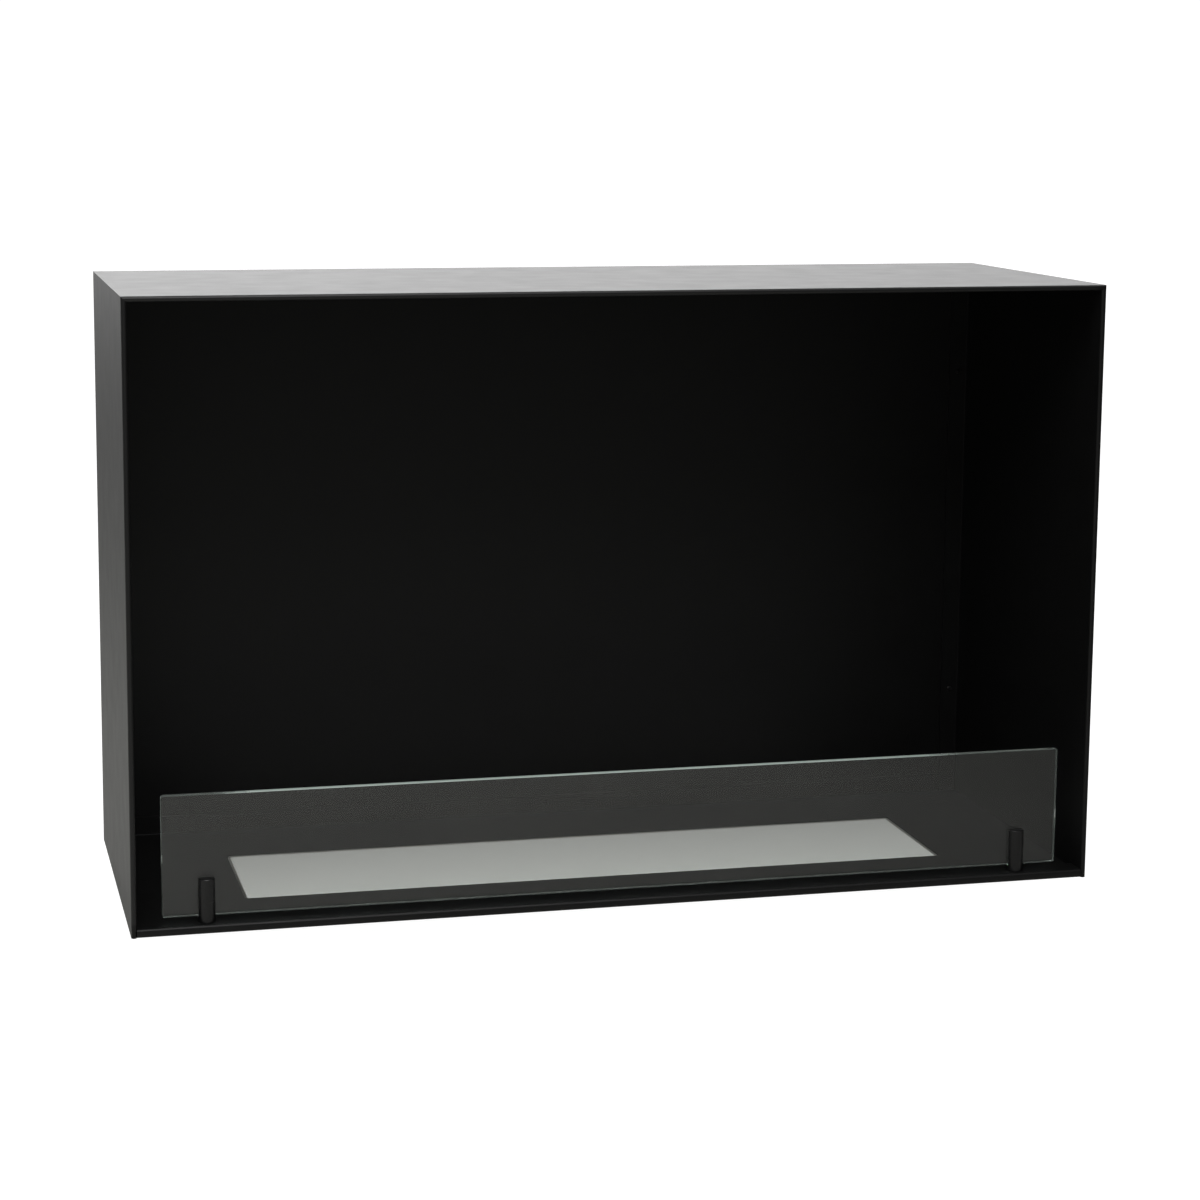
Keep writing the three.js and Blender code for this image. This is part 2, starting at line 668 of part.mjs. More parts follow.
function screenGroup() {
  const group = new THREE.Group();
  for (const [side, sign] of SIDES) {
    const x = (sign * POST_SPACING) / 2;
    group.add(named(`post_${side}`, post(), blackPost, [x, POST_SETBACK, FLOOR_LIP]));
    group.add(named(`post_screw_${side}`, countersunkScrew(), zincSteel, [x, POST_SETBACK, 0]));
    group.add(named(`glass_pad_${side}`, glassPad(), silicone, [x, POST_SETBACK, SLOT_BOTTOM]));
  }
  group.add(named('glass_screen', glassScreen(), clearGlass, [0, POST_SETBACK, GLASS_BOTTOM]));
  return group;
}

function burnerGroup() {
  const group = new THREE.Group();
  group.add(named('burner_tray', burnerTray(), stainless, [0, CUTOUT_CENTRE, PAN_BOTTOM]));
  const fibreBottom = PAN_BOTTOM + PAN_WALL + FIBRE_LIFT;
  group.add(named('fibre_bed', fibreBed(), ceramicFibre, [0, CUTOUT_CENTRE, fibreBottom]));
  const [frontLine, rearLine] = bracketStudLines();
  for (const [side, sign] of SIDES) {
    const x = (sign * BRACKET_SPACING) / 2;
    group.add(named(`burner_bracket_${side}`, burnerBracket(), zincSteel, [x, 0, 0]));
    for (const [end, y] of [['front', frontLine], ['rear', rearLine]]) {
      const stud = weldStud(M4_DIAMETER, BRACKET_STUD_LENGTH);
      const nut = hexNut(BRACKET_NUT_FLATS, BRACKET_NUT_HEIGHT, M4_DIAMETER);
      group.add(named(`bracket_stud_${side}_${end}`, stud, zincSteel, [x, y, 0]));
      group.add(named(`bracket_nut_${side}_${end}`, nut, zincSteel, [x, y, -BRACKET_SHEET]));
    }
  }
  return group;
}

function feetGroup() {
  const group = new THREE.Group();
  const rearLine = CASING_DEPTH - FOOT_REAR_INSET;
  for (const [side, sign] of SIDES) {
    const x = sign * (HALF_WIDTH - FOOT_SIDE_INSET);
    for (const [end, y] of [['front', FOOT_FRONT_INSET], ['rear', rearLine]]) {
      const where = `${end}_${side}`;
      const stud = weldStud(M6_DIAMETER, FOOT_STUD_LENGTH);
      const nut = hexNut(FOOT_NUT_FLATS, FOOT_NUT_HEIGHT, M6_DIAMETER);
      group.add(named(`foot_${where}`, foot(), rubber, [x, y, 0]));
      group.add(named(`foot_stud_${where}`, stud, zincSteel, [x, y, 0]));
      group.add(named(`foot_washer_${where}`, washer(), zincSteel, [x, y, -FOOT_WEB]));
      group.add(named(`foot_nut_${where}`, nut, zincSteel, [x, y, -FOOT_WEB - WASHER_THICKNESS]));
    }
  }
  return group;
}

const fireplace = new THREE.Group();
fireplace.add(casingGroup(), screenGroup(), burnerGroup(), feetGroup());
fireplace.position.set(0, -(CASING_DEPTH + BUTTON_HEAD_HEIGHT) / 2, FOOT_HEIGHT);

export default fireplace;
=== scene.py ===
"""The looks of a bioethanol fireplace: finishes, fine pieces, light and camera, in metres."""

import json
import math

import bpy
from mathutils import Matrix, Vector, noise


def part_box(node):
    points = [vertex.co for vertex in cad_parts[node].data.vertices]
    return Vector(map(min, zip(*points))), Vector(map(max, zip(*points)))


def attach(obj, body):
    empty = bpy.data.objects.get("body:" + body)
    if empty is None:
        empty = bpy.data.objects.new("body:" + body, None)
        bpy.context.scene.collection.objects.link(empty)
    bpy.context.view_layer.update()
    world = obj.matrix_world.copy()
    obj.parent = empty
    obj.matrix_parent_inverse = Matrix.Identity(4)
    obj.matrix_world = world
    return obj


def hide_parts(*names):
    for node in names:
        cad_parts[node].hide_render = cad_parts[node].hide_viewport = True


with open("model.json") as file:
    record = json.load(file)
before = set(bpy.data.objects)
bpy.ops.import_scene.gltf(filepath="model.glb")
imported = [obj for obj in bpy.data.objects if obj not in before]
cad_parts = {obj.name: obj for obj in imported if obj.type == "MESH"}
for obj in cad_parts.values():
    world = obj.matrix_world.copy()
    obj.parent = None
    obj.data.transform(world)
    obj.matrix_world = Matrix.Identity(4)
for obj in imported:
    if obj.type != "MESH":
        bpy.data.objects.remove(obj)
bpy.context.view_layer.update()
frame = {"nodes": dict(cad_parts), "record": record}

MM = 0.001

# Camera, solved from the casing's corners in the photograph
CAMERA_PLACE = (-0.56014, -2.2005, 0.67503)
CAMERA_YAW = 13.258  # degrees to the right of +Y
CAMERA_PITCH = 8.622  # degrees down
CAMERA_ROLL = 0.324
SENSOR_WIDTH = 36
LENS = 81.332
LENS_SHIFT = (0.05125, -0.08249)

# Light. A span is where a part of the studio starts and is full, in the direction's share of an axis
BACKDROP = 3.05  # the studio behind the object, which its top face mirrors
BACKDROP_SPAN = (0.2, 0.75)
BACKDROP_LEFT = 1.31  # how much brighter its left half is
BACKDROP_LEFT_SPAN = (0.08, 0.42)
BACKDROP_CORNER = 0.7  # how much of that is left at its far left
BACKDROP_CORNER_SPAN = (-0.4, -0.02)
SIDES = 0.2  # the studio to the left and in front
RIGHT = 0.08
RIGHT_SPAN = (0, 0.6)
OVERHEAD = 0.5
OVERHEAD_SPAN = (0.35, 0.9)
SHOWN_STUDIO = 1.1  # what the camera itself sees of the studio
SOFTBOX_POWER = 19
SOFTBOX_PLACE = (-0.25, -1.1, 1.7)
SOFTBOX_AIM = (-0.1, -0.5, 0.0)
SOFTBOX_SIZE = (1.1, 1.0)
FLOOR_HALF = 12
FLOOR_BRIGHTEST = (-0.5, 0.3, 0)
FLOOR_NEAR = 0.8  # albedo of the floor there
FLOOR_FAR = 0.22  # and at the far end of its span
FLOOR_SPAN = (0.2, 3.0)  # metres from there
FLOOR_RIGHT = 0.45  # what is left of it to the right of the object
FLOOR_RIGHT_SPAN = (0.25, 0.75)  # metres along X
FLOOR_BLUE = 0.95

# Edges
EDGE_ANGLE = math.radians(32)
FLAT_WITHIN = math.radians(0.5)
WELD_WITHIN = 0.002 * MM
SHEET_EDGE = 0.25 * MM
HARD_EDGE = 0.15 * MM
RUBBER_EDGE = 0.4 * MM
HEM_SPAN = (-147.8 * MM, -146.3 * MM)  # where the gloss of the hems' front faces ends, along Y
HEM_LOW_SPAN = (30 * MM, 32 * MM)  # along Z, above the floor's lip
HEM_RIGHT_PAINTED_SHADE_SPAN = (387 * MM, 395 * MM)  # along X: the right-hand hem past this is kept dull, a painted shade of the light falling off to the right

# Glass
GLASS_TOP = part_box("glass_screen")[1].z
GLASS_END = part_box("glass_screen")[1].x
PAINTED_HIGHLIGHT_ENDS = (-0.335, 0.29)  # its top edge carries a painted highlight between these places, where it is made frosted and less clear
PAINTED_HIGHLIGHT_FADE = 0.035
PAINTED_HIGHLIGHT_REST = 0.1  # how much of the painted highlight there is beyond them
EDGE_SPAN = (0.9, 0.97)  # share of Y in the normal at which an edge turns into a face
DUST = 0.0158  # how much of each face a fine film of dust covers
DUST_RIGHT_PAINTED_SHADE = 0.72  # what is left of the dust at the right end; the thinning is a painted shade of the light falling off to the right

# Threads and heads
M4 = 4 * MM
M4_PITCH = 0.7 * MM
M4_KEY = 2.5 * MM  # hexagon socket, across flats
M6 = 6 * MM
M6_PITCH = 1 * MM
THREAD_DEPTH = 0.61  # this and the next two are shares of the pitch
THREAD_CREST = 1 / 8
THREAD_ROOT = 1 / 4
END_CHAMFER = 0.5 * MM
BUTTON_HEIGHT = 2.2 * MM
BUTTON_RIM = 0.45 * MM
BUTTON_FLAT = 1.8 * MM  # radius of the flat round the socket
BUTTON_ROUND = 0.15 * MM
COUNTERSUNK_RIM = 0.1 * MM
SOCKET_DEPTH = 1.3 * MM
SOCKET_CHAMFER = 0.12 * MM
RINGS_PER_TURN = 8
RING_POINTS = 24


# ---------------------------------------------------------------- node trees


def add_node(tree, kind, inputs=None, **settings):
    """A node of this kind. inputs maps a socket's name or number to its value or the socket that feeds it."""
    made = tree.nodes.new(kind)
    for name, value in settings.items():
        setattr(made, name, value)
    for key, value in (inputs or {}).items():
        if isinstance(value, bpy.types.NodeSocket):
            tree.links.new(value, made.inputs[key])
        else:
            made.inputs[key].default_value = value
    return made


def new_material(name):
    """An empty material's tree, its Principled shader and its coordinates in metres."""
    material = bpy.data.materials.new(name)
    material.use_nodes = True
    tree = material.node_tree
    coordinates = add_node(tree, "ShaderNodeTexCoord").outputs["Object"]
    return material, tree, tree.nodes["Principled BSDF"], coordinates


def set_shader(tree, shader, **inputs):
    for key, value in inputs.items():
        socket = shader.inputs[key.replace("_", " ")]
        if isinstance(value, bpy.types.NodeSocket):
            tree.links.new(value, socket)
        else:
            socket.default_value = value


def stretched(tree, coordinates, scale, turn=(0, 0, 0)):
    return add_node(
        tree, "ShaderNodeMapping", {"Vector": coordinates, "Scale": scale, "Rotation": turn}
    ).outputs["Vector"]


def noise_of(tree, coordinates, scale, detail=2.0, rough=0.5):
    inputs = {"Vector": coordinates, "Scale": scale, "Detail": detail, "Roughness": rough}
    return add_node(tree, "ShaderNodeTexNoise", inputs).outputs["Fac"]


def cells_of(tree, coordinates, scale):
    inputs = {"Vector": coordinates, "Scale": scale}
    return add_node(tree, "ShaderNodeTexVoronoi", inputs).outputs["Distance"]


def ranged(tree, value, low, high, start=0.0, end=1.0):
    """value from start to end becomes low to high, and stays at these beyond."""
    inputs = {"Value": value, "From Min": start, "From Max": end, "To Min": low, "To Max": high}
    return add_node(tree, "ShaderNodeMapRange", inputs).outputs["Result"]


def blend_colours(tree, factor, first, second):
    made = add_node(tree, "ShaderNodeMix", {"Factor": factor}, data_type="RGBA")
    sockets = (socket for socket in made.inputs if socket.type == "RGBA")
    for socket, colour in zip(sockets, (first, second)):
        socket.default_value = (*colour, 1)
    return next(socket for socket in made.outputs if socket.type == "RGBA")


def maths(tree, operation, first, second=0.0):
    return add_node(tree, "ShaderNodeMath", {0: first, 1: second}, operation=operation).outputs[0]


def bumped(tree, height, distance, strength=1.0, under=None):
    inputs = {"Height": height, "Distance": distance, "Strength": strength}
    if under:
        inputs["Normal"] = under
    return add_node(tree, "ShaderNodeBump", inputs).outputs["Normal"]


def edge_mask(tree, radius):
    """0 on flat ground and up to 1 where the surface turns within radius."""
    rounded = add_node(tree, "ShaderNodeBevel", {"Radius": radius}, samples=6).outputs["Normal"]
    flat = add_node(tree, "ShaderNodeNewGeometry").outputs["Normal"]
    inputs = {0: rounded, 1: flat}
    along = add_node(tree, "ShaderNodeVectorMath", inputs, operation="DOT_PRODUCT").outputs["Value"]
    return ranged(tree, along, 1.0, 0.0, 0.8, 0.98)


# ---------------------------------------------------------------- materials


def black_coat():
    """Fine-texture matte powder coat: faint clouding, orange peel, and a polished line along the folds.

    The hems round the front opening are a little glossier than the flat sheet, apart from the right-hand one,
    which is kept dull as a painted shade of the light falling off to the right.
    """
    material, tree, shader, place = new_material("black_coat")
    where = add_node(tree, "ShaderNodeSeparateXYZ", {0: place}).outputs
    front = ranged(tree, where["Y"], 1, 0, *HEM_SPAN)
    high = ranged(tree, where["Z"], 0, 1, *HEM_LOW_SPAN)
    # painted shade: the right-hand hem is left out of the gloss so that it reads darker
    left = ranged(tree, where["X"], 1, 0, *HEM_RIGHT_PAINTED_SHADE_SPAN)
    hem = maths(tree, "MULTIPLY", maths(tree, "MULTIPLY", front, high), left)
    cloud = noise_of(tree, place, 38, detail=4)
    peel = noise_of(tree, place, 900, detail=2)
    grain = cells_of(tree, place, 2600)
    scuff = noise_of(tree, place, 240, detail=3, rough=0.65)
    worn = maths(tree, "MULTIPLY", edge_mask(tree, 0.6 * MM), ranged(tree, scuff, 0.1, 1, 0.45, 0.7))
    tone = maths(tree, "ADD", ranged(tree, cloud, 0, 0.5), maths(tree, "MULTIPLY", worn, 0.8))
    rough = maths(tree, "SUBTRACT", ranged(tree, cloud, 0.40, 0.48), maths(tree, "MULTIPLY", worn, 0.12))
    relief = bumped(tree, grain, 0.01 * MM, 0.5, bumped(tree, peel, 0.03 * MM, 0.35))
    set_shader(
        tree,
        shader,
        Base_Color=blend_colours(tree, tone, (0.0036, 0.0036, 0.0036), (0.0082, 0.0082, 0.0085)),
        Roughness=rough,
        Normal=relief,
        Specular_IOR_Level=ranged(tree, hem, 0.25, 0.42),
    )
    return material


def black_post():
    """Satin black over turned steel: fine rings round the post."""
    material, tree, shader, place = new_material("black_post")
    rings = noise_of(tree, stretched(tree, place, (40, 40, 5200)), 1, detail=2)
    cloud = noise_of(tree, place, 260, detail=3)
    set_shader(
        tree,
        shader,
        Base_Color=blend_colours(tree, cloud, (0.0025, 0.0025, 0.0027), (0.0055, 0.0055, 0.0058)),
        Roughness=ranged(tree, rings, 0.26, 0.36, 0.3, 0.7),
        Normal=bumped(tree, rings, 0.01 * MM, 0.4),
        Specular_IOR_Level=0.4,
    )
    return material


def black_screw():
    """Black oxide on a machined screw."""
    material, tree, shader, place = new_material("black_screw")
    blotch = noise_of(tree, place, 700, detail=3)
    lines = noise_of(tree, stretched(tree, place, (300, 6000, 300)), 1, detail=1)
    set_shader(
        tree,
        shader,
        Base_Color=blend_colours(tree, blotch, (0.008, 0.008, 0.009), (0.020, 0.019, 0.019)),
        Metallic=0.75,
        Roughness=ranged(tree, blotch, 0.3, 0.48),
        Normal=bumped(tree, lines, 0.01 * MM, 0.3),
    )
    return material


def zinc_steel():
    """Bright zinc plate, with the faint blue and straw clouds of its passivation."""
    material, tree, shader, place = new_material("zinc_steel")
    tint = noise_of(tree, place, 90, detail=3)
    rolled = noise_of(tree, stretched(tree, place, (1500, 60, 1500)), 1, detail=3)
    set_shader(
        tree,
        shader,
        Base_Color=blend_colours(
            tree, ranged(tree, tint, 0, 1, 0.35, 0.65), (0.53, 0.55, 0.58), (0.60, 0.59, 0.55)
        ),
        Metallic=1.0,
        Roughness=ranged(tree, rolled, 0.26, 0.42),
        Normal=bumped(tree, rolled, 0.01 * MM, 0.4),
    )
    return material


def stainless():
    """Sheet with a fine brushed grain along the pan, warmer and duller in cloudy patches from the heat."""
    material, tree, shader, place = new_material("stainless")
    grain = noise_of(tree, stretched(tree, place, (25, 2400, 2400)), 1, detail=3)
    heat = noise_of(tree, place, 22, detail=3)
    set_shader(
        tree,
        shader,
        Base_Color=blend_colours(
            tree, ranged(tree, heat, 0, 1, 0.4, 0.75), (0.60, 0.60, 0.59), (0.56, 0.53, 0.49)
        ),
        Metallic=1.0,
        Roughness=ranged(tree, grain, 0.24, 0.42),
        Normal=bumped(tree, grain, 0.008 * MM, 0.5),
    )
    return material


def foot_rubber():
    """Moulded rubber with a dusty bloom."""
    material, tree, shader, place = new_material("foot_rubber")
    bloom = noise_of(tree, place, 180, detail=4)
    pores = noise_of(tree, place, 2200, detail=2)
    set_shader(
        tree,
        shader,
        Base_Color=blend_colours(
            tree, ranged(tree, bloom, 0, 1, 0.4, 0.8), (0.013, 0.013, 0.013), (0.032, 0.031, 0.029)
        ),
        Roughness=ranged(tree, bloom, 0.68, 0.9),
        Normal=bumped(tree, pores, 0.04 * MM, 0.5),
    )
    return material


def silicone():
    """Pale translucent pad."""
    material, tree, shader, place = new_material("silicone")
    cloud = noise_of(tree, place, 500, detail=2)
    set_shader(
        tree,
        shader,
        Base_Color=blend_colours(tree, cloud, (0.58, 0.60, 0.57), (0.66, 0.67, 0.62)),
        Roughness=ranged(tree, cloud, 0.4, 0.55),
        Subsurface_Weight=0.3,
        Subsurface_Scale=1 * MM,
    )
    return material


def ceramic_fibre():
    """Felted wool: short fibres in several directions over soft lumps, with painted shade where the strands
    and lumps are low.
    """
    material, tree, shader, place = new_material("ceramic_fibre")
    lumps = noise_of(tree, place, 70, detail=4, rough=0.55)
    height = None
    for degrees in (12, 58, 97, 151):
        turned = stretched(tree, place, (240, 2600, 2600), (0, 0, math.radians(degrees)))
        strands = noise_of(tree, turned, 1, detail=2, rough=0.6)
        height = strands if height is None else maths(tree, "MAXIMUM", height, strands)
    relief = bumped(tree, height, 0.25 * MM, 0.7, bumped(tree, lumps, 0.5 * MM, 0.35))
    # painted shade: the felt is darker where its strands and lumps are low
    tone = maths(tree, "MULTIPLY", ranged(tree, height, 0.55, 1, 0.45, 0.75), ranged(tree, lumps, 0.75, 1))
    set_shader(
        tree,
        shader,
        Base_Color=blend_colours(tree, tone, (0.60, 0.61, 0.58), (0.80, 0.81, 0.78)),
        Roughness=0.95,
        Sheen_Weight=0.15,
        Specular_IOR_Level=0.1,
        Normal=relief,
    )
    return material


def clear_glass():
    """Clear pane that lets lamps through, with polished greenish edges, a painted highlight along part of its
    top edge, and a fine film of dust that thins to the right as a painted shade.
    """
    material, tree, shader, place = new_material("clear_glass")
    normal = add_node(tree, "ShaderNodeNewGeometry").outputs["Normal"]
    facing = add_node(tree, "ShaderNodeSeparateXYZ", {0: normal}).outputs
    where = add_node(tree, "ShaderNodeSeparateXYZ", {0: place}).outputs
    edge = ranged(tree, maths(tree, "ABSOLUTE", facing["Y"]), 1, 0, *EDGE_SPAN)
    # painted highlight: over part of its length the top edge is made rougher and less clear, so it shows
    # lighter there
    highlight_from, highlight_to = PAINTED_HIGHLIGHT_ENDS
    painted_highlight_span = maths(
        tree,
        "MULTIPLY",
        ranged(tree, where["X"], PAINTED_HIGHLIGHT_REST, 1, highlight_from, highlight_from + PAINTED_HIGHLIGHT_FADE),
        ranged(tree, where["X"], 1, PAINTED_HIGHLIGHT_REST, highlight_to - PAINTED_HIGHLIGHT_FADE, highlight_to),
    )
    upper = ranged(tree, where["Z"], 0, 1, GLASS_TOP - 2 * MM, GLASS_TOP - 1 * MM)
    brightening = maths(tree, "MULTIPLY", maths(tree, "MULTIPLY", edge, upper), painted_highlight_span)
    ground = noise_of(tree, place, 1800, detail=3)
    cloud = noise_of(tree, stretched(tree, place, (9, 30, 16)), 1, detail=4)
    film = ranged(tree, cloud, 0, 0.012, 0.5, 0.85)
    set_shader(
        tree,
        shader,
        Base_Color=blend_colours(tree, edge, (0.97, 0.985, 0.975), (0.72, 0.86, 0.80)),
        Roughness=maths(tree, "ADD", maths(tree, "MULTIPLY", brightening, ranged(tree, ground, 0.2, 0.45)), film),
        Transmission_Weight=maths(
            tree, "SUBTRACT", ranged(tree, edge, 1, 0.95), maths(tree, "MULTIPLY", brightening, 0.5)
        ),
        IOR=1.33,
        Normal=bumped(tree, maths(tree, "MULTIPLY", ground, brightening), 0.03 * MM, 0.5),
    )
    # the dust film, thinned towards the right end as a painted shade of the light falling off that way
    dust_and_painted_shade = maths(
        tree,
        "MULTIPLY",
        ranged(tree, cloud, 0.7 * DUST, 1.3 * DUST),
        ranged(tree, where["X"], 1, DUST_RIGHT_PAINTED_SHADE, 0, GLASS_END),
    )
    dust = add_node(tree, "ShaderNodeBsdfDiffuse", {"Color": (0.84, 0.84, 0.80, 1)})
    dusty = add_node(tree, "ShaderNodeMixShader", {0: dust_and_painted_shade, 1: shader.outputs[0], 2: dust.outputs[0]})
    open_air = add_node(tree, "ShaderNodeBsdfTransparent", {"Color": (0.9, 0.93, 0.91, 1)})
    shadow_ray = add_node(tree, "ShaderNodeLightPath").outputs["Is Shadow Ray"]
    mixed = add_node(
        tree, "ShaderNodeMixShader", {0: shadow_ray, 1: dusty.outputs[0], 2: open_air.outputs[0]}
    )
    tree.links.new(mixed.outputs[0], tree.nodes["Material Output"].inputs["Surface"])
    return material


MAKERS = (
    black_coat,
    black_post,
    black_screw,
    zinc_steel,
    stainless,
    foot_rubber,
    silicone,
    ceramic_fibre,
    clear_glass,
)
MATERIALS = {make.__name__: make() for make in MAKERS}


# ---------------------------------------------------------------- carried-over CAD nodes


def smoothing():
    """Geometry nodes that shade a mesh smooth, apart from its edges over EDGE_ANGLE."""
    group = bpy.data.node_groups.new("smooth_by_angle", "GeometryNodeTree")
    group.interface.new_socket("Geometry", in_out="INPUT", socket_type="NodeSocketGeometry")
    group.interface.new_socket("Geometry", in_out="OUTPUT", socket_type="NodeSocketGeometry")
    start = group.nodes.new("NodeGroupInput").outputs[0]
    angle = group.nodes.new("GeometryNodeInputMeshEdgeAngle").outputs["Unsigned Angle"]
    sharp = add_node(group, "FunctionNodeCompare", {0: angle, 1: EDGE_ANGLE}, operation="GREATER_THAN")
    normals = group.nodes.new("GeometryNodeSetMeshNormal")
    normals.mode = "SHARPNESS"
    group.links.new(start, normals.inputs["Mesh"])
    normals.inputs["Remove Custom"].default_value = True
    group.links.new(sharp.outputs[0], normals.inputs["Edge Sharpness"])
    end = group.nodes.new("NodeGroupOutput")
    group.links.new(normals.outputs[0], end.inputs[0])
    return group


SMOOTHING = smoothing()


def soften(piece, edge):
    """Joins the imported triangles, rounds the sharp edges by edge metres and shades the rest smooth."""
    weld = piece.modifiers.new("weld", "WELD")
    weld.merge_threshold = WELD_WITHIN
    flat = piece.modifiers.new("flat", "DECIMATE")
    flat.decimate_type = "DISSOLVE"
    flat.angle_limit = FLAT_WITHIN
    if edge:
        bevel = piece.modifiers.new("bevel", "BEVEL")
        bevel.width = edge
        bevel.segments = 2
        bevel.limit_method = "ANGLE"
        bevel.angle_limit = EDGE_ANGLE
    smooth = piece.modifiers.new("smooth", "NODES")
    smooth.node_group = SMOOTHING
    even = piece.modifiers.new("even", "WEIGHTED_NORMAL")
    even.keep_sharp = True
    even.weight = 100


EDGE_OF_SLOT = {
    "black_coat": SHEET_EDGE,
    "zinc_steel": HARD_EDGE,
    "stainless": HARD_EDGE,
    "foot_rubber": RUBBER_EDGE,
    "black_post": HARD_EDGE,
}

for subpart in frame["record"]["subparts"]:
    node = frame["nodes"][subpart["node"]]
    slot = subpart["material_slot"]
    node.material_slots[0].link = "OBJECT"
    node.material_slots[0].material = MATERIALS[slot]
    soften(node, EDGE_OF_SLOT.get(slot, 0))


# ---------------------------------------------------------------- pieces made here


def piece_from(name, points, faces, slot, body):
    """A smooth-shaded mesh that has this slot's finish and moves with this body."""
    mesh = bpy.data.meshes.new(name)
    mesh.from_pydata(points, [], faces)
    mesh.update()
    mesh.shade_smooth()
    piece = bpy.data.objects.new(name, mesh)
    bpy.context.scene.collection.objects.link(piece)
    mesh.materials.append(MATERIALS[slot])
    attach(piece, body)
    return piece


def fibre_mat():
    """A felted mat: soft lumps on top, rounded edges that waver a little, in the space of its CAD solid."""
    low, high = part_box("fibre_bed")
    radius = 1.6 * MM
    lump = 0.22 * MM
    waver = 0.25 * MM
    step = 3 * MM
    coarse, fine, ragged = 38, 140, 60  # waves per metre
    apart = 20 * MM  # keeps the waves of top and bottom from being the same
    across = round((high.x - low.x) / step)
    along = round((high.y - low.y) / step)
    middle = (low + high) / 2
    half = (high - low) / 2
    points = []
    faces = []

    def spread(count, reach):
        """About count places from -reach to reach, closer together over the rounded edge."""
        inner = [reach * (2 * i / count - 1) for i in range(1, count)]
        rim = [reach - radius * (1 - math.sin(math.radians(a))) for a in (0, 30, 60, 90)]
        inside = [v for v in inner if abs(v) < reach - 1.5 * radius]
        return [-v for v in reversed(rim)] + inside + rim

    xs = spread(across, half.x)
    ys = spread(along, half.y)

    def drop(value, reach):
        """How far the rounded edge is below the flat there."""
        past = max(0.0, abs(value) - (reach - radius))
        return radius - math.sqrt(max(0.0, radius**2 - past**2))

    for side in (1, -1):
        for y in ys:
            for x in xs:
                fall = min(radius, math.hypot(drop(x, half.x), drop(y, half.y)))
                where = Vector((x, y, side * apart))
                rise = noise.noise(where * coarse) * 0.6 + noise.noise(where * fine) * 0.4
                z = half.z - lump - fall + (rise * lump if side > 0 else 0)
                inward = waver * (1 + noise.noise(where * ragged)) / 2
                edge_x = inward if abs(x) > half.x - radius else 0
                edge_y = inward if abs(y) > half.y - radius else 0
                place = (
                    x - math.copysign(edge_x, x),
                    y - math.copysign(edge_y, y),
                    side * z,
                )
                points.append(middle + Vector(place))
    row = len(xs)
    sheet = row * len(ys)
    for j in range(len(ys) - 1):
        for i in range(row - 1):
            a = j * row + i
            faces.append((a, a + 1, a + row + 1, a + row))
            b = sheet + a
            faces.append((b, b + row, b + row + 1, b + 1))
    rim = list(range(row))
    rim += [j * row + row - 1 for j in range(1, len(ys))]
    rim += [(len(ys) - 1) * row + i for i in range(row - 2, -1, -1)]
    rim += [j * row for j in range(len(ys) - 2, 0, -1)]
    for a, b in zip(rim, rim[1:] + rim[:1]):
        faces.append((b, a, sheet + a, sheet + b))
    mat = piece_from("fibre_mat", points, faces, "ceramic_fibre", "fibre")
    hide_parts("fibre_bed")


fibre_mat()


def threaded(radius, pitch, low, high):
    """Rings of a 60-degree thread from low to high, its end at low chamfered."""
    depth = THREAD_DEPTH * pitch
    flank = (1 - THREAD_CREST - THREAD_ROOT) / 2
    count = math.ceil((high - low) / pitch * RINGS_PER_TURN)

    def ring(height):
        limit = radius - max(0, END_CHAMFER - (height - low))

        def reach(turn):
            from_crest = abs((height / pitch - turn) % 1 - 0.5)
            cut = (from_crest - THREAD_CREST / 2) / flank
            return min(limit, radius - depth * min(1, max(0, cut)))

        return height, reach

    return [ring(low + (high - low) * i / count) for i in range(count + 1)]


def hexagon(flats):
    """Distance from the middle of a hexagon to its outline, for each share of a turn."""
    return lambda turn: flats / 2 / math.cos(math.radians(turn * 360 % 60 - 30))


def fastener(node, slot, rings, base, axis=(0, 0, 1)):
    """A turned piece in the place of a CAD node: rings of height and radius, along axis from base."""
    turned = Vector(axis).to_track_quat("Z", "X")
    points = []
    for height, radius in rings:
        for i in range(RING_POINTS):
            turn = i / RING_POINTS
            reach = radius(turn) if callable(radius) else radius
            angle = 2 * math.pi * turn
            spot = Vector((reach * math.cos(angle), reach * math.sin(angle), height))
            points.append(Vector(base) + turned @ spot)
    faces = [tuple(reversed(range(RING_POINTS)))]
    for start in range(0, (len(rings) - 1) * RING_POINTS, RING_POINTS):
        for i in range(RING_POINTS):
            a = start + i
            b = start + (i + 1) % RING_POINTS
            faces.append((a, b, b + RING_POINTS, a + RING_POINTS))
    faces.append(tuple(range(len(points) - RING_POINTS, len(points))))
    made = piece_from(f"{node}_threaded", points, faces, slot, "casing")
    made.modifiers.new("smooth", "NODES").node_group = SMOOTHING
    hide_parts(node)


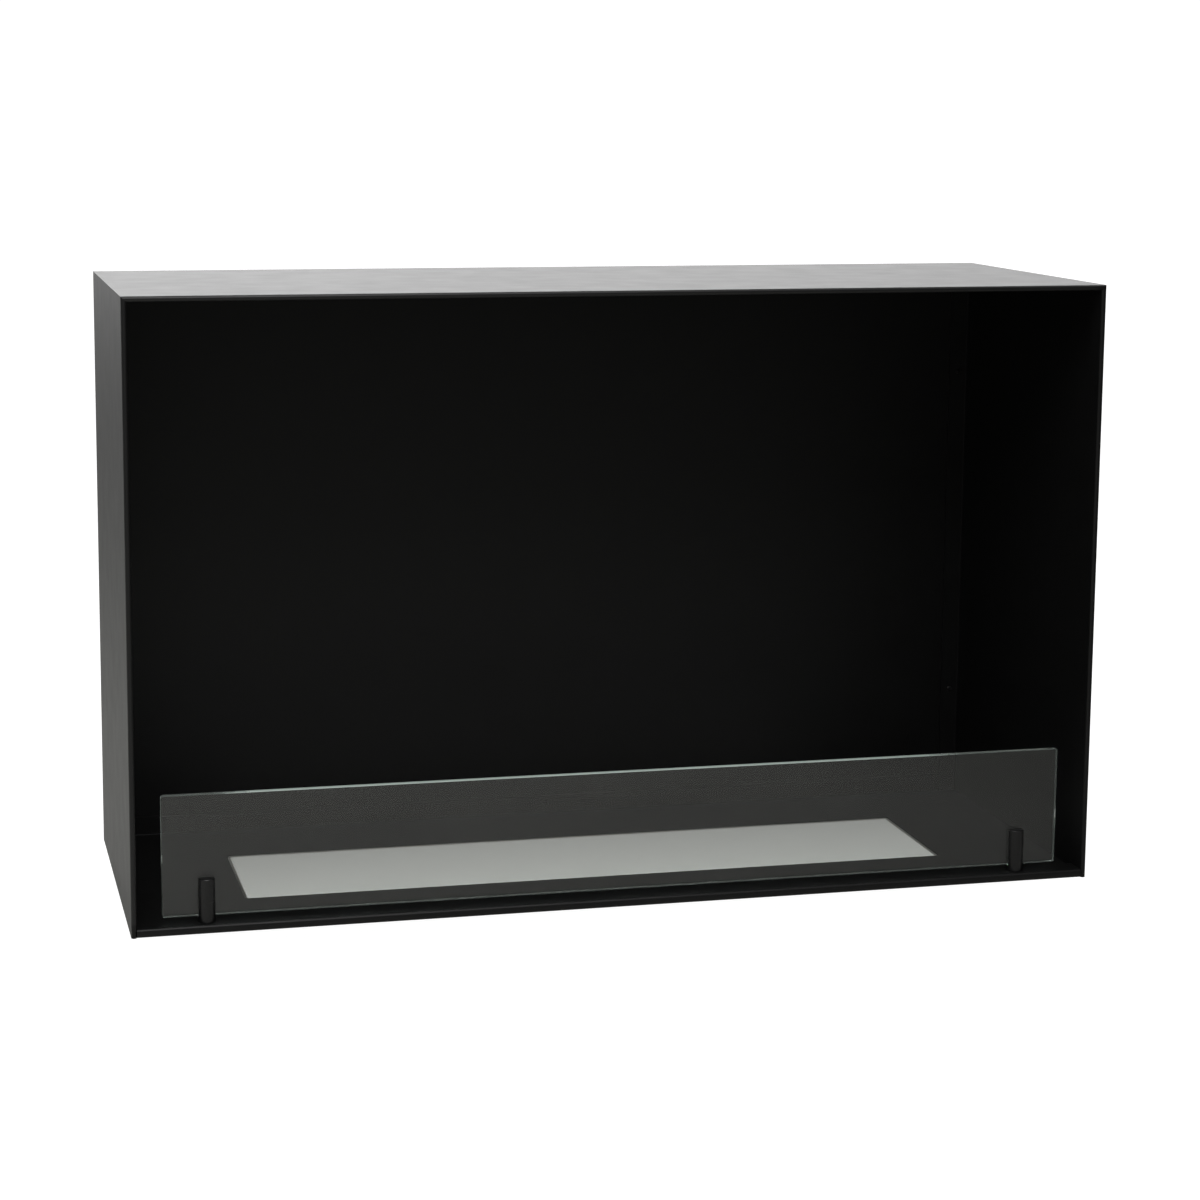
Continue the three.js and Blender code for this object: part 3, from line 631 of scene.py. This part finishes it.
def back_screw(node):
    """Button head with a rolled dome and a hexagon socket, on an M4 thread."""
    low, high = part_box(node)
    middle = (low + high) / 2
    head = (high.x - low.x) / 2
    seat = (middle.x, high.y - BUTTON_HEIGHT, middle.z)
    rings = threaded(M4 / 2, M4_PITCH, low.y - seat[1], -M4_PITCH / 2)
    rings += [(0, M4 / 2 - M4_PITCH / 2), (0, head - BUTTON_ROUND), (BUTTON_ROUND, head)]
    crown = BUTTON_HEIGHT - BUTTON_RIM
    for degrees in range(0, 91, 15):
        angle = math.radians(degrees)
        reach = BUTTON_FLAT + (head - BUTTON_FLAT) * math.cos(angle)
        rings.append((BUTTON_RIM + crown * math.sin(angle), reach))
    rings += [
        (BUTTON_HEIGHT, hexagon(M4_KEY + 2 * SOCKET_CHAMFER)),
        (BUTTON_HEIGHT - SOCKET_CHAMFER, hexagon(M4_KEY)),
        (BUTTON_HEIGHT - SOCKET_DEPTH, hexagon(M4_KEY)),
    ]
    fastener(node, "black_screw", rings, seat, (0, 1, 0))


def post_screw(node):
    """Countersunk head, flush with the underside of the casing, on an M4 thread."""
    low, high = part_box(node)
    middle = (low + high) / 2
    head = (high.x - low.x) / 2
    cone = head - M4 / 2
    tip = high.z - low.z
    rings = [
        (SOCKET_DEPTH, hexagon(M4_KEY)),
        (SOCKET_CHAMFER, hexagon(M4_KEY)),
        (0, hexagon(M4_KEY + 2 * SOCKET_CHAMFER)),
        (0, head - COUNTERSUNK_RIM),
        (COUNTERSUNK_RIM, head - COUNTERSUNK_RIM),
        (cone, M4 / 2),
    ]
    thread = threaded(M4 / 2, M4_PITCH, 0, tip - cone)
    rings += [(tip - height, reach) for height, reach in reversed(thread)]
    fastener(node, "zinc_steel", rings, (middle.x, middle.y, low.z))


def weld_stud(node, diameter, pitch):
    """Headless stud that hangs down from its weld."""
    low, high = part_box(node)
    middle = (low + high) / 2
    rings = threaded(diameter / 2, pitch, low.z - high.z, 0)
    fastener(node, "zinc_steel", rings, (middle.x, middle.y, high.z))


for subpart in frame["record"]["subparts"]:
    name = subpart["node"]
    if name.startswith("back_screw"):
        back_screw(name)
    elif name.startswith("post_screw"):
        post_screw(name)
    elif name.startswith("bracket_stud"):
        weld_stud(name, M4, M4_PITCH)
    elif name.startswith("foot_stud"):
        weld_stud(name, M6, M6_PITCH)


# ---------------------------------------------------------------- studio


def camera():
    """The photograph's camera."""
    yaw, pitch, roll = (math.radians(a) for a in (CAMERA_YAW, CAMERA_PITCH, CAMERA_ROLL))
    ahead = Vector((math.sin(yaw) * math.cos(pitch), math.cos(yaw) * math.cos(pitch), -math.sin(pitch)))
    level = Vector((math.cos(yaw), -math.sin(yaw), 0))
    upright = level.cross(ahead)
    right = math.cos(roll) * level + math.sin(roll) * upright
    up = math.cos(roll) * upright - math.sin(roll) * level
    data = bpy.data.cameras.new("camera")
    data.sensor_width = SENSOR_WIDTH
    data.lens = LENS
    data.shift_x, data.shift_y = LENS_SHIFT
    made = bpy.data.objects.new("camera", data)
    turn = Matrix((right, up, -ahead)).transposed()
    made.matrix_world = Matrix.Translation(CAMERA_PLACE) @ turn.to_4x4()
    bpy.context.scene.collection.objects.link(made)
    bpy.context.scene.camera = made


def studio_world():
    """A plain studio, white to the camera, that lights the object from behind, above and in front."""
    world = bpy.data.worlds.new("studio")
    world.use_nodes = True
    tree = world.node_tree
    tree.nodes.clear()
    towards = add_node(tree, "ShaderNodeTexCoord").outputs["Generated"]
    parts = add_node(tree, "ShaderNodeSeparateXYZ", {0: towards}).outputs
    leftward = maths(
        tree,
        "MULTIPLY",
        ranged(tree, parts["X"], BACKDROP_LEFT, 1, *BACKDROP_LEFT_SPAN),
        ranged(tree, parts["X"], BACKDROP_CORNER, 1, *BACKDROP_CORNER_SPAN),
    )
    behind = maths(tree, "MULTIPLY", ranged(tree, parts["Y"], 0, 1, *BACKDROP_SPAN), leftward)
    backdrop = maths(tree, "MULTIPLY", behind, BACKDROP - SIDES)
    around = maths(tree, "ADD", backdrop, ranged(tree, parts["X"], SIDES, RIGHT, *RIGHT_SPAN))
    above = ranged(tree, parts["Z"], 0, 1, *OVERHEAD_SPAN)
    overhead = maths(tree, "MULTIPLY", above, OVERHEAD)
    walls = maths(tree, "MULTIPLY", around, maths(tree, "SUBTRACT", 1.0, above))
    lit = add_node(tree, "ShaderNodeBackground", {"Strength": maths(tree, "ADD", walls, overhead)})
    shown = add_node(tree, "ShaderNodeBackground", {"Color": (1, 1, 1, 1), "Strength": SHOWN_STUDIO})
    seen = add_node(tree, "ShaderNodeLightPath").outputs["Is Camera Ray"]
    both = add_node(tree, "ShaderNodeMixShader", {0: seen, 1: lit.outputs[0], 2: shown.outputs[0]})
    out = add_node(tree, "ShaderNodeOutputWorld")
    tree.links.new(both.outputs[0], out.inputs["Surface"])
    bpy.context.scene.world = world


def softbox():
    """A lamp above and in front of the object."""
    data = bpy.data.lights.new("top_softbox", "AREA")
    data.shape = "RECTANGLE"
    data.size, data.size_y = SOFTBOX_SIZE
    data.energy = SOFTBOX_POWER
    made = bpy.data.objects.new("top_softbox", data)
    made.location = SOFTBOX_PLACE
    aim = Vector(SOFTBOX_AIM) - Vector(SOFTBOX_PLACE)
    made.rotation_euler = aim.to_track_quat("-Z", "Y").to_euler()
    bpy.context.scene.collection.objects.link(made)


def studio_floor():
    """A plain floor, white to the camera, that is palest behind the object on its left."""
    corners = [(x * FLOOR_HALF, y * FLOOR_HALF, 0) for x, y in ((-1, -1), (1, -1), (1, 1), (-1, 1))]
    mesh = bpy.data.meshes.new("floor")
    mesh.from_pydata(corners, [], [(0, 1, 2, 3)])
    floor = bpy.data.objects.new("floor", mesh)
    bpy.context.scene.collection.objects.link(floor)
    material = bpy.data.materials.new("pale_floor")
    material.use_nodes = True
    tree = material.node_tree
    tree.nodes.clear()
    place = add_node(tree, "ShaderNodeNewGeometry").outputs["Position"]
    inputs = {0: place, 1: FLOOR_BRIGHTEST}
    away = add_node(tree, "ShaderNodeVectorMath", inputs, operation="DISTANCE").outputs["Value"]
    along = add_node(tree, "ShaderNodeSeparateXYZ", {0: place}).outputs["X"]
    albedo = maths(
        tree,
        "MULTIPLY",
        ranged(tree, away, FLOOR_NEAR, FLOOR_FAR, *FLOOR_SPAN),
        ranged(tree, along, 1, FLOOR_RIGHT, *FLOOR_RIGHT_SPAN),
    )
    warm = {"Red": albedo, "Green": albedo, "Blue": maths(tree, "MULTIPLY", albedo, FLOOR_BLUE)}
    colour = add_node(tree, "ShaderNodeCombineColor", warm).outputs[0]
    plain = add_node(tree, "ShaderNodeBsdfDiffuse", {"Color": colour})
    shown = add_node(tree, "ShaderNodeBsdfDiffuse", {"Color": (0.3, 0.3, 0.3, 1)})
    brightening = add_node(tree, "ShaderNodeEmission", {"Strength": 1.0})
    lifted = add_node(tree, "ShaderNodeAddShader", {0: shown.outputs[0], 1: brightening.outputs[0]})
    seen = add_node(tree, "ShaderNodeLightPath").outputs["Is Camera Ray"]
    both = add_node(tree, "ShaderNodeMixShader", {0: seen, 1: plain.outputs[0], 2: lifted.outputs[0]})
    out = add_node(tree, "ShaderNodeOutputMaterial")
    tree.links.new(both.outputs[0], out.inputs["Surface"])
    mesh.materials.append(material)


camera()
studio_world()
studio_floor()
softbox()
bpy.context.scene.view_settings.view_transform = "Standard"
